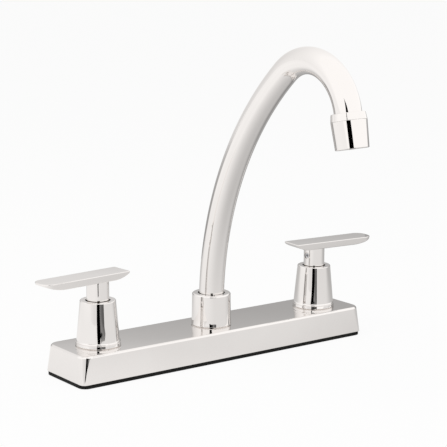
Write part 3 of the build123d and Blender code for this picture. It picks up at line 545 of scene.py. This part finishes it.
def make_valve_body(name):
    core = profile(
        [
            (SHANK_BORE_RADIUS, -SHANK_LENGTH, 0.3),
            (ROOT_RADIUS, -SHANK_LENGTH, 0.4),
            (ROOT_RADIUS, THREAD_TOP),
            (SHANK_RADIUS, THREAD_TOP),
            (SHANK_RADIUS, PLATE_FOOT),
            (FOOT_RADIUS, PLATE_FOOT, 0.3),
            (FOOT_RADIUS, FOOT_TOP, 0.6),
            (BARREL_RADIUS, FOOT_TOP, 0.8),
            (BARREL_RADIUS, BARREL_TOP, 0.3),
            (CARTRIDGE_RADIUS, BARREL_TOP, 0.3),
            (CARTRIDGE_RADIUS, CARTRIDGE_FLOOR),
            (CHAMBER_RADIUS, CARTRIDGE_FLOOR),
            (CHAMBER_RADIUS, SEAT_TOP),
            (SEAT_RADIUS, SEAT_TOP),
            (SEAT_RADIUS, SEAT_FOOT),
            (SHANK_BORE_RADIUS, SEAT_FOOT),
        ]
    )
    # Side port towards the spout, with a socket for the cross tube
    aim = Matrix.Rotation(-SIDES[name] * pi / 2, 4, "Y")
    towards = Matrix.Translation((0, 0, PORT_HEIGHT)) @ aim
    drill = profile(
        [(0, PORT_START), (PORT_RADIUS, PORT_START), (PORT_RADIUS, PORT_END), (0, PORT_END)]
    )
    boss = profile(
        [
            (PORT_RADIUS, BOSS_START),
            (BOSS_RADIUS, BOSS_START),
            (BOSS_RADIUS, BOSS_END, 0.3),
            (SOCKET_RADIUS, BOSS_END),
            (SOCKET_RADIUS, SOCKET_START),
            (PORT_RADIUS, SOCKET_START),
        ]
    )
    part = join(
        carved(lathe(core, CORE_SEGMENTS), moved(lathe(drill, DRILL_SEGMENTS), towards)),
        moved(lathe(boss, DRILL_SEGMENTS), towards),
        *[thread_ridge(low, high) for low, high in THREADED],
    )
    on_axis = Matrix.Translation((VALVE_X[name], 0, 0))
    piece = add_mesh(f"{name}_valve_body_threaded", *part, on_axis)
    return finish_piece(piece, "faucet_body", "brass", [f"{name}_valve_body"])


for name in SIDES:
    make_valve_body(name)


# ---- Handles ------------------------------------------------------------------------------------
OUTER_REACH, INNER_REACH, HALF_WIDTH = 51.6, 22.6, 9.5
END_BOW, OUTER_CORNER, INNER_CORNER = 1.4, 7.5, 1.2
BOW_STEPS, OUTER_STEPS, SIDE_STEPS, INNER_STEPS, END_STEPS = 6, 18, 36, 10, 5
BLADE_THICK, TIP_THICK = 5.4, 1.2
OUTER_RUNOUT, INNER_RUNOUT = 18.5, 13.0
SIDE_SLANT, BLADE_TURN = tan(radians(10)), radians(5)
NECK_RADIUS, NECK_TAPER, NECK_SUNK, NECK_SEGMENTS = 8.25, 0.15, 2.4, 144
SOCKET_WIDTH, SOCKET_DEPTH = 5.55, 11.6
SCREW_HEIGHT, SCREW_TURN = 64.5, radians(7.0)
SCREW_RADIUS, SCREW_MOUTH_RADIUS = 2.05, 2.65
SCREW_START, SCREW_MOUTH, SCREW_END = 1, 6.6, 12


def blade_half():
    """Half of the blade's outline from the middle of the outer end to that of the inner end,
    as points and outward normals."""
    bow_radius = (HALF_WIDTH**2 + END_BOW**2) / (2 * END_BOW)
    bow_x = OUTER_REACH - bow_radius
    y = HALF_WIDTH - OUTER_CORNER
    x = bow_x + sqrt((bow_radius - OUTER_CORNER) ** 2 - y**2)
    meet = atan2(y, x - bow_x)
    inner_x, inner_y = -INNER_REACH + INNER_CORNER, HALF_WIDTH - INNER_CORNER

    def on_arc(cx, cy, radius, angle):
        return (cx + radius * cos(angle), cy + radius * sin(angle)), (cos(angle), sin(angle))

    outline = [on_arc(bow_x, 0, bow_radius, meet * k / BOW_STEPS) for k in range(BOW_STEPS)]
    for k in range(OUTER_STEPS):
        outline.append(on_arc(x, y, OUTER_CORNER, meet + (pi / 2 - meet) * k / OUTER_STEPS))
    for k in range(SIDE_STEPS + 1):
        outline.append(((x + (inner_x - x) * k / SIDE_STEPS, HALF_WIDTH), (0, 1)))
    for k in range(1, INNER_STEPS + 1):
        outline.append(on_arc(inner_x, inner_y, INNER_CORNER, pi / 2 * (1 + k / INNER_STEPS)))
    for k in range(1, END_STEPS + 1):
        outline.append(((-INNER_REACH, inner_y * (1 - k / END_STEPS)), (-1, 0)))
    return outline


def blade_depth(x):
    """Thickness of the blade at a distance from the valve's axis."""
    rise = BLADE_THICK - TIP_THICK
    outer_past, inner_past = x - OUTER_REACH + OUTER_RUNOUT, -x - INNER_REACH + INNER_RUNOUT
    for past, run in ((outer_past, OUTER_RUNOUT), (inner_past, INNER_RUNOUT)):
        if past > 0:
            radius = (run**2 + rise**2) / (2 * rise)
            return BLADE_THICK - radius + sqrt(radius**2 - min(past, run) ** 2)
    return BLADE_THICK


def make_blade(top):
    half = blade_half()
    outline = half + [((p[0], -p[1]), (n[0], -n[1])) for p, n in half[-2:0:-1]]
    count = len(outline)
    inside = 4
    columns = []
    for p, n in outline:
        depth = blade_depth(p[0])
        depth = blade_depth(p[0] - n[0] * depth * SIDE_SLANT)
        wall = profile(
            [(inside, 0), (0, 0, 0.45), (depth * SIDE_SLANT, depth, 0.5), (inside, depth)], count=6
        )[1:-1]
        columns.append([(p[0] - n[0] * q.x, p[1] - n[1] * q.x, top - q.y) for q in wall])
    rows = len(columns[0])
    points = [columns[i][r] for r in range(rows) for i in range(count)]
    under = (rows - 1) * count
    for i in range(count):
        x, y, _ = points[under + i]
        points[under + i] = (x, y, top - blade_depth(x))
    faces = ring_faces(rows, count)
    for start in (0, under):
        for i in range(count // 2):
            across = [i, i + 1, (count - i - 1) % count, (count - i) % count]
            faces.append(tuple(dict.fromkeys(start + k for k in across)))
    return points, faces


def make_handle(name):
    side = SIDES[name]
    low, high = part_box(f"{name}_handle")
    top, foot = high.z / MM, low.z / MM
    on_axis = Matrix.Translation((VALVE_X[name], 0, 0))
    outwards = atan2(-sin(BLADE_TURN), side * cos(BLADE_TURN))
    place = on_axis @ Matrix.Rotation(outwards, 4, "Z")
    neck = profile(
        [
            (0, top - NECK_SUNK),
            (NECK_RADIUS - NECK_TAPER, top - NECK_SUNK),
            (NECK_RADIUS, foot, 0.5),
            (SOCKET_WIDTH, foot, 0.3),
            (SOCKET_WIDTH, foot + SOCKET_DEPTH),
            (0, foot + SOCKET_DEPTH),
        ]
    )
    # Hole for the set screw, wider where it comes out
    drill = profile(
        [
            (0, SCREW_START),
            (SCREW_RADIUS, SCREW_START),
            (SCREW_RADIUS, SCREW_MOUTH),
            (SCREW_MOUTH_RADIUS, SCREW_MOUTH),
            (SCREW_MOUTH_RADIUS, SCREW_END),
            (0, SCREW_END),
        ]
    )
    towards = Matrix.Rotation(pi + side * SCREW_TURN, 4, "Z")
    hole = towards @ Matrix.Translation((0, 0, SCREW_HEIGHT)) @ Matrix.Rotation(pi / 2, 4, "Y")
    neck_part = carved(lathe(neck, NECK_SEGMENTS), moved(lathe(drill, DRILL_SEGMENTS), hole))
    piece = add_mesh(f"{name}_handle_casting", *join(make_blade(top), neck_part), place)
    return finish_piece(piece, f"{name}_handle_group", "chrome_plate", [f"{name}_handle"])


for name in SIDES:
    make_handle(name)


# ---- Spout --------------------------------------------------------------------------------------
TUBE_FOOT = 19.0
BEND_START = COLLAR_TOP - 10.1
BENDS = ((242.5, 49.3), (40.5, 118.3))  # (radius, degrees)
BEND_STEPS, TUBE_SEGMENTS, OUTLET_SEGMENTS = 72, 128, 160
END_RUN = 4.0
OUTLET_RADIUS, RING_START_RADIUS, RING_DEPTH, RING_LIP_RADIUS = 12.4, 11.7, 5.2, 10.8
HOUSING_START, HOUSING_END, SKIRT_END = 5.25, 24.18, 11.0
HOUSING_END_RADIUS, HOUSING_BORE_RADIUS = 11.48, 10.25
OUTLET_MOUTH_RADIUS, OUTLET_MOUTH = 9.2, 22.6


def spout_line():
    """Stations along the tube as (y, z, angle from upright), and the last bend's end."""
    y, z, lean = 0.0, BEND_START, 0.0
    stations = [(0.0, TUBE_FOOT, 0.0), (y, z, lean)]
    for radius, angle in BENDS:
        for k in range(1, BEND_STEPS + 1):
            now = lean + radians(angle) * k / BEND_STEPS
            at_y = y - radius * (cos(lean) - cos(now))
            at_z = z + radius * (sin(now) - sin(lean))
            stations.append((at_y, at_z, now))
        y, z, lean = stations[-1]
    stations.append((y - END_RUN * sin(lean), z + END_RUN * cos(lean), lean))
    return stations, (y, z, lean)


STATIONS, (OUTLET_Y, OUTLET_Z, OUTLET_LEAN) = spout_line()
OUTLET_PLACE = Matrix(
    (
        (1, 0, 0, 0),
        (0, cos(OUTLET_LEAN), -sin(OUTLET_LEAN), OUTLET_Y),
        (0, sin(OUTLET_LEAN), cos(OUTLET_LEAN), OUTLET_Z),
        (0, 0, 0, 1),
    )
)


def make_tube():
    skins = []
    for radius in (TUBE_RADIUS, TUBE_BORE_RADIUS):
        skin = []
        for y, z, lean in STATIONS:
            for i in range(TUBE_SEGMENTS):
                a = 2 * pi * i / TUBE_SEGMENTS
                out = radius * sin(a)
                skin.append((radius * cos(a), y + out * cos(lean), z + out * sin(lean)))
        skins.append(skin)
    walls = [(skin, ring_faces(len(STATIONS), TUBE_SEGMENTS)) for skin in skins]
    ends = []
    for start in (0, (len(STATIONS) - 1) * TUBE_SEGMENTS):
        rims = [p for skin in skins for p in skin[start : start + TUBE_SEGMENTS]]
        ends.append((rims, ring_faces(2, TUBE_SEGMENTS)))
    piece = add_mesh("spout_tube_bent", *join(*walls, *ends))
    return finish_piece(piece, "spout_group", "chrome_plate", ["spout_tube"])


def make_outlet():
    """Outlines as (radius, distance past the last bend, rounding)."""
    ring = profile(
        [
            (TUBE_RADIUS + SLIP, 0),
            (RING_START_RADIUS, 0, 0.5),
            (OUTLET_RADIUS, RING_DEPTH, 0.15),
            (RING_LIP_RADIUS, RING_DEPTH),
            (RING_LIP_RADIUS, SKIRT_END),
            (TUBE_BORE_RADIUS, SKIRT_END),
            (TUBE_BORE_RADIUS, END_RUN),
            (TUBE_RADIUS + SLIP, END_RUN),
        ]
    )
    housing = profile(
        [
            (RING_LIP_RADIUS + SLIP, HOUSING_START),
            (OUTLET_RADIUS, HOUSING_START, 0.15),
            (HOUSING_END_RADIUS, HOUSING_END, 0.5),
            (OUTLET_MOUTH_RADIUS, HOUSING_END, 0.4),
            (OUTLET_MOUTH_RADIUS, OUTLET_MOUTH),
            (HOUSING_BORE_RADIUS, OUTLET_MOUTH),
            (HOUSING_BORE_RADIUS, SKIRT_END),
            (RING_LIP_RADIUS + SLIP, SKIRT_END),
        ]
    )
    piece = add_mesh("outlet_ring_turned", *lathe(ring, OUTLET_SEGMENTS), OUTLET_PLACE)
    finish_piece(piece, "spout_group", "chrome_plate", ["outlet_ring"])
    piece = add_mesh("aerator_housing_turned", *lathe(housing, OUTLET_SEGMENTS), OUTLET_PLACE)
    finish_piece(piece, "spout_group", "chrome_plate", ["aerator_housing"])


make_tube()
make_outlet()


# ---- Stage tools. Places are (across the picture, towards the camera, height) in metres ---------
TO_CAMERA = Vector((-0.597, -0.802, 0))
ACROSS = Vector((0.802, -0.597, 0))
WHITE = (1, 1, 1, 1)


def stage_mesh(name, corners, material):
    """Flat piece of the stage. Its own coordinates are those of the corners, so its material can
    be graded along them."""
    mesh = bpy.data.meshes.new(name)
    mesh.from_pydata(corners, [], [tuple(range(len(corners)))])
    mesh.materials.append(material)
    piece = bpy.data.objects.new(name, mesh)
    piece.matrix_world = Matrix((ACROSS, TO_CAMERA, (0, 0, 1))).transposed().to_4x4()
    bpy.context.scene.collection.objects.link(piece)
    return piece


def card(name, corners, material):
    """Card that the chrome mirrors, and that the camera doesn't see."""
    piece = stage_mesh(name, corners, material)
    piece.visible_camera = piece.visible_diffuse = piece.visible_shadow = False


def upright(start, end, low, high):
    """Corners of an upright card over a line on the floor."""
    return [(*start, low), (*end, low), (*end, high), (*start, high)]


def linked_node(tree, kind, operation, *inputs):
    """Maths node with its inputs given as sockets or plain values."""
    node = tree.nodes.new(kind)
    node.operation = operation
    for socket, value in zip(node.inputs, inputs):
        if isinstance(value, bpy.types.NodeSocket):
            tree.links.new(value, socket)
        else:
            socket.default_value = value
    return node


def offset_from(tree, centre):
    place = tree.nodes.new("ShaderNodeTexCoord").outputs["Object"]
    return linked_node(tree, "ShaderNodeVectorMath", "SUBTRACT", place, centre).outputs[0]


def along(tree, direction, centre=(0, 0, 0)):
    """How far a point of the piece lies from a centre in a direction, in its own coordinates."""
    offset = offset_from(tree, centre)
    node = linked_node(tree, "ShaderNodeVectorMath", "DOT_PRODUCT", offset, direction)
    return node.outputs["Value"]


def distance_from(tree, centre):
    offset = offset_from(tree, centre)
    return linked_node(tree, "ShaderNodeVectorMath", "LENGTH", offset).outputs["Value"]


def colour_mix(tree, blend, factor, a, b):
    """Colour between a and b, or their product, with inputs given as sockets or plain values."""
    node = tree.nodes.new("ShaderNodeMix")
    node.data_type = "RGBA"
    node.blend_type = blend
    for socket, value in (("Factor", factor), ("A", a), ("B", b)):
        if isinstance(value, bpy.types.NodeSocket):
            tree.links.new(value, node.inputs[socket])
        else:
            node.inputs[socket].default_value = value
    return node.outputs["Result"]


def shader_mix(tree, factor, a, b, out):
    """The material's surface, from shader a to shader b."""
    mix = tree.nodes.new("ShaderNodeMixShader")
    tree.links.new(factor, mix.inputs["Fac"])
    tree.links.new(a.outputs[0], mix.inputs[1])
    tree.links.new(b.outputs[0], mix.inputs[2])
    tree.links.new(mix.outputs[0], out.inputs["Surface"])


def warm(value):
    """Grey of the tent, a little warmer where it is darker."""
    return (value, value * 0.985, value * 0.975)


def graded(name, direction, start, end, stops):
    """Glowing material whose grey changes from start to end along a direction."""
    material = bpy.data.materials.new(name)
    material.use_nodes = True
    tree = material.node_tree
    tree.nodes.clear()
    out = tree.nodes.new("ShaderNodeOutputMaterial")
    glow = tree.nodes.new("ShaderNodeEmission")
    tree.links.new(glow.outputs["Emission"], out.inputs["Surface"])
    share = span(tree, along(tree, direction), 0, 1, start, end)
    tree.links.new(ramp(tree, share, [(p, warm(v)) for p, v in stops]), glow.inputs["Color"])
    return material, tree, glow, out


def fade_up(tree, glow, out, low, high):
    """Clears the material from a low height to a high one."""
    clear = tree.nodes.new("ShaderNodeBsdfTransparent")
    shader_mix(tree, span(tree, along(tree, (0, 0, 1)), 0, 1, low, high), glow, clear, out)


# ---- Cards in front of the tap: opening of the tent, table edge, tent's flap --------------------
GAP_DISTANCE, LOW_GAP_HEIGHT = 0.63, 0.13
GAP_LEFT, GAP_RIGHT = (-0.112, 0.71), (0.156, 0.944)
FLAP_FAR, FLAP_NEAR = (0.156, 0.94), (0.237, 0.44)
FLAP_HEIGHT, OVER_FLAP_HEIGHT = 0.045, 0.14
SIDE_FAR, SIDE_NEAR = (-0.45, 0.5), (-0.112, 0.66)
EDGE_LIFT, FLAP_FOOT_LIFT = 2e-4, 1e-4  # above the floor
TENT_GAP = [  # (across, height)
    (-0.1, 0.05),
    (0.2, 0.05),
    (0.19, 0.12),
    (0.165, 0.2),
    (0.15, 0.25),
    (0.077, 0.31),
    (0.017, 0.39),
    (-0.056, 0.44),
    (-0.1, 0.48),
]
TABLE_EDGE = [  # (across, towards the camera)
    (-0.06, 0.33),
    (-0.022, 0.33),
    (-0.02, 0.375),
    (0.01, 0.385),
    (0.03, 0.435),
    (0.12, 0.44),
    (0.12, 0.475),
    (0.06, 0.5),
    GAP_RIGHT,
    GAP_LEFT,
    (-0.075, 0.42),
]
FLAP_FOOT = [
    (0.03, 0.38),
    (0.06, 0.385),
    (0.09, 0.37),
    (0.135, 0.325),
    (0.2, 0.35),
    FLAP_NEAR,
    (0.156, 0.93),
]

# Walls behind the tap, which fade out upwards
WALL_LEFT, WALL_RIGHT = (-0.54, -0.35), (0.45, -0.35)
RIGHT_WALL_START, RIGHT_WALL_END = (0.15, -0.34), (0.75, -0.34)
RIGHT_WALL_LOW, WALL_HEIGHT = 0.05, 0.24
WALL_FADE, RIGHT_WALL_FADE = 0.16, 0.14
WALL_GREYS = [(0.0, 0.34), (0.45, 0.44), (0.5, 0.45), (0.65, 0.55), (0.72, 0.64), (0.86, 0.78)]


def add_cards():
    black = graded("gap_black", (1, 0, 0), -1, 1, [(0, 0.0), (1, 0.0)])[0]
    card("tent_gap", [(a, GAP_DISTANCE, z) for a, z in TENT_GAP], black)
    card("low_gap", upright(GAP_LEFT, GAP_RIGHT, 0, LOW_GAP_HEIGHT), black)
    card("over_flap", upright(FLAP_FAR, FLAP_NEAR, FLAP_HEIGHT, OVER_FLAP_HEIGHT), black)
    card("table_edge", [(a, d, EDGE_LIFT) for a, d in TABLE_EDGE], black)
    side = graded("side_grey", (1, 0, 0), -0.45, -0.11, [(0, 1.0), (0.7, 0.87), (1, 0.9)])[0]
    card("gap_side", upright(SIDE_FAR, SIDE_NEAR, 0, LOW_GAP_HEIGHT), side)
    flap = graded("flap_grey", (1, 0, 0), 0.15, 0.237, [(0, 0.25), (1, 0.1)])[0]
    card("tent_flap", upright(FLAP_FAR, FLAP_NEAR, 0, FLAP_HEIGHT), flap)
    card("flap_foot", [(a, d, FLAP_FOOT_LIFT) for a, d in FLAP_FOOT], flap)
    material, tree, glow, out = graded("wall_grey", (0, 0, 1), 0, 0.2, WALL_GREYS)
    fade_up(tree, glow, out, WALL_FADE, WALL_HEIGHT)
    card("low_wall", upright(WALL_LEFT, WALL_RIGHT, 0, WALL_HEIGHT), material)
    material, tree, glow, out = graded("right_grey", (1, 0, 0), 0.12, 0.3, [(0.0, 0.42), (1, 0.36)])
    fade_up(tree, glow, out, RIGHT_WALL_FADE, WALL_HEIGHT)
    corners = upright(RIGHT_WALL_START, RIGHT_WALL_END, RIGHT_WALL_LOW, WALL_HEIGHT)
    card("right_wall", corners, material)


# ---- Floor, tent, lamp --------------------------------------------------------------------------
FLOOR_HALF, FLOOR_HEIGHT = 40, -1e-4
FLOOR_GLOW = 0.9  # share of the floor's own light where the camera or the chrome sees it
FLOOR_COLOUR = (0.8, 0.8, 0.79, 1)
# Painted light and shade of the floor where the chrome sees it: brighter at the left, greyer to the
# right and behind the tap
ACROSS_GREYS = [(0, 1.2), (0.29, 1.1), (0.43, 1.03), (0.54, 0.97), (0.61, 0.89), (1, 0.88)]
BACK_SHADE_GREYS = [
    (0, 1),
    (0.086, 0.92),
    (0.144, 0.8),
    (0.22, 0.66),
    (0.29, 0.58),
    (0.55, 0.6),
    (0.75, 1.1),
]
# Centre of the painted shadow of the tap on the floor, seen only in the chrome
TAP_SHADOW_CENTRE = (0.17, -0.13, 0)
BACK_TURN = (-0.12, 0, 0)
TENT_GREYS = [(0.3, 1.18), (0.6, 1.07), (0.75, 1.0), (0.88, 0.92), (1, 0.82)]
LAMP_POWER, LAMP_SIZE = 9, (1.4, 1.0)
LAMP_PLACE, LAMP_SIDE = (-0.5, -0.2, 1.4), (-0.3, -0.15, 1)


def add_floor():
    """White to the camera. In the chrome it carries painted light and shade: white at the left and
    greyer to the right and behind."""
    material, tree, glow, out = graded("pale_floor", (1, 0, 0), -0.8, 0.6, ACROSS_GREYS)
    # Painted shade: greyer behind the tap, and white again far away. At the left the grey starts
    # further back.
    straight, slanted = along(tree, (0, -1, 0)), along(tree, (0.5, -1, 0), BACK_TURN)
    behind = linked_node(tree, "ShaderNodeMath", "MINIMUM", straight, slanted).outputs[0]
    back = span(tree, behind, 0, 1, -0.02, 0.8)
    back = ramp(tree, back, [(p, (v, v, v)) for p, v in BACK_SHADE_GREYS])
    # Seen steeply it is greyer still, a painted sheen, most of all behind the right valve, where a
    # painted shadow of the tap lies
    facing = tree.nodes.new("ShaderNodeLayerWeight").outputs["Facing"]
    tap_shadow = span(tree, distance_from(tree, TAP_SHADOW_CENTRE), 0, 1.0, 0.02, 0.13)
    tree.links.new(span(tree, facing, 0.45, 0.9, 0.25, 0.8), tap_shadow.node.inputs["To Min"])
    sheen = span(tree, facing, 0, 1.0, 0.25, 0.8)
    steep = span(tree, along(tree, (1, 0, 0)), 1.08, 0.68, -0.25, 0.1)
    flat = span(tree, along(tree, (1, 0, 0)), 0.93, 1.0, -0.4, -0.2)
    tree.links.new(steep, sheen.node.inputs["To Min"])
    tree.links.new(flat, sheen.node.inputs["To Max"])
    shade = glow.inputs["Color"].links[0].from_socket
    for part in (back, tap_shadow, sheen):
        shade = colour_mix(tree, "MULTIPLY", 1, shade, part)
    rays = tree.nodes.new("ShaderNodeLightPath")
    tint = colour_mix(tree, "MIX", rays.outputs["Is Camera Ray"], shade, WHITE)
    tree.links.new(tint, glow.inputs["Color"])
    # Light from the floor reaches the camera and mirrors. For the rest it is matt, with shadows.
    seen = rays.outputs["Is Camera Ray"]
    for ray in ("Is Glossy Ray", "Is Transmission Ray"):
        seen = linked_node(tree, "ShaderNodeMath", "MAXIMUM", seen, rays.outputs[ray]).outputs[0]
    share = linked_node(tree, "ShaderNodeMath", "MULTIPLY", seen, FLOOR_GLOW).outputs[0]
    matt = tree.nodes.new("ShaderNodeBsdfDiffuse")
    matt.inputs["Color"].default_value = FLOOR_COLOUR
    shader_mix(tree, share, matt, glow, out)
    s = FLOOR_HALF
    corners = [(x, y, FLOOR_HEIGHT) for x, y in ((-s, -s), (s, -s), (s, s), (-s, s))]
    stage_mesh("floor", corners, material)


def add_world():
    """Tent: white, a little dimmer behind the tap where the chrome mirrors it."""
    world = bpy.data.worlds.new("white_tent")
    bpy.context.scene.world = world
    world.use_nodes = True
    tree = world.node_tree
    background = tree.nodes["Background"]
    place = tree.nodes.new("ShaderNodeTexCoord").outputs["Generated"]
    behind = -0.866 * TO_CAMERA - 0.5 * ACROSS
    share = linked_node(tree, "ShaderNodeVectorMath", "DOT_PRODUCT", place, behind)
    wall = ramp(tree, share.outputs["Value"], [(p, warm(v)) for p, v in TENT_GREYS])
    rays = tree.nodes.new("ShaderNodeLightPath")
    colour = colour_mix(tree, "MIX", rays.outputs["Is Glossy Ray"], WHITE, wall)
    tree.links.new(colour, background.inputs["Color"])
    strength = span(tree, rays.outputs["Is Diffuse Ray"], 1.0, 0.75, 0, 1)
    tree.links.new(strength, background.inputs["Strength"])


def add_lamp():
    lamp = bpy.data.lights.new("soft_box", "AREA")
    lamp.shape = "RECTANGLE"
    lamp.size, lamp.size_y = LAMP_SIZE
    lamp.energy = LAMP_POWER
    piece = bpy.data.objects.new("soft_box", lamp)
    facing = Vector(LAMP_SIDE).to_track_quat("Z", "Y").to_matrix().to_4x4()
    piece.matrix_world = Matrix.Translation(LAMP_PLACE) @ facing
    piece.visible_glossy = False
    bpy.context.scene.collection.objects.link(piece)


add_cards()
add_floor()
add_world()
add_lamp()


# ---- Camera -------------------------------------------------------------------------------------
CAMERA_PLACE = (-0.674388, -0.906804, 0.32041)
CAMERA_TURN, CAMERA_DIP, CAMERA_ROLL = radians(-37.082), radians(11.002), radians(0.473)
LENS, SENSOR_WIDTH, FARTHEST = 123.28, 36, 200

camera = bpy.data.cameras.new("camera")
camera.sensor_width = SENSOR_WIDTH
camera.lens = LENS
camera.clip_end = FARTHEST
camera_object = bpy.data.objects.new("camera", camera)
camera_object.matrix_world = (
    Matrix.Translation(CAMERA_PLACE)
    @ Matrix.Rotation(CAMERA_TURN, 4, "Z")
    @ Matrix.Rotation(pi / 2 - CAMERA_DIP, 4, "X")
    @ Matrix.Rotation(CAMERA_ROLL, 4, "Z")
)
bpy.context.scene.collection.objects.link(camera_object)
bpy.context.scene.camera = camera_object
bpy.context.scene.view_settings.view_transform = "Standard"
